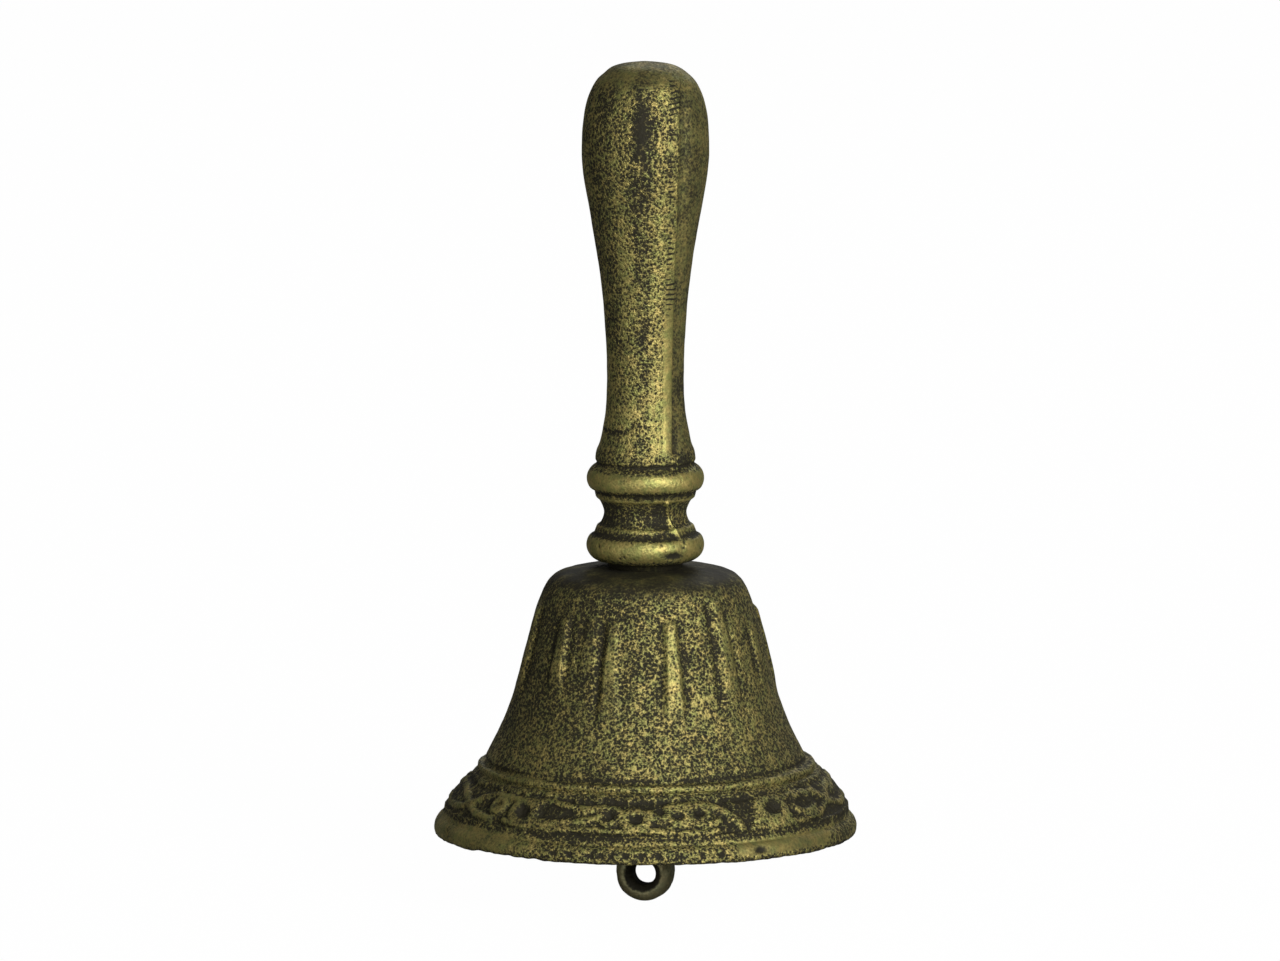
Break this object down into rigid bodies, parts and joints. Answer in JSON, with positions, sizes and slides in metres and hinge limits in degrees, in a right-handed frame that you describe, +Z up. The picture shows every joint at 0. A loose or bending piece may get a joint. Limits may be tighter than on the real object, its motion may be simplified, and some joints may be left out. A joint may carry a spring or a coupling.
{
  "type": "hand dinner bell",
  "caption": "Cast-iron hand dinner bell: upright grip with two collar rings, flared ribbed bell, ringed clapper hung inside from an eye bolt.",
  "frame": {"origin": "on the bell's axis at the middle of the grip, where a hand holds it", "axes": "+Z up along the axis of the bell and handle, from the mouth to the top of the grip"},
  "size_m": [0.1016, 0.1016, 0.2032],
  "materials": {
    "handle_iron": "black paint with antique gold rubbed over",
    "bell_iron": "black paint with antique gold rubbed over, rough sand-cast skin",
    "clapper_iron": "black paint, worn",
    "zinc_steel": "dull zinc",
    "spring_steel": "blackened"
  },
  "bodies": {
    "bell": {"handle": "handle_iron", "bell_body": "bell_iron", "eye_bolt": "zinc_steel", "crown_washer": "zinc_steel", "lock_washer": "spring_steel", "crown_nut": "zinc_steel"},
    "link": {"hanger_ring": "zinc_steel"},
    "striker": {"clapper": "clapper_iron"}
  },
  "joints": [
    {"name": "ring_swing", "type": "hinge", "parent": "bell", "child": "link", "pos_m": [0, 0, -0.0923], "axis": [0.2079, 0.9781, 0], "range_deg": [-39, 39]},
    {"name": "clapper_swing", "type": "hinge", "parent": "link", "child": "striker", "pos_m": [0, 0, -0.10045], "axis": [0.9781, -0.2079, 0], "range_deg": [-15, 15]}
  ]
}
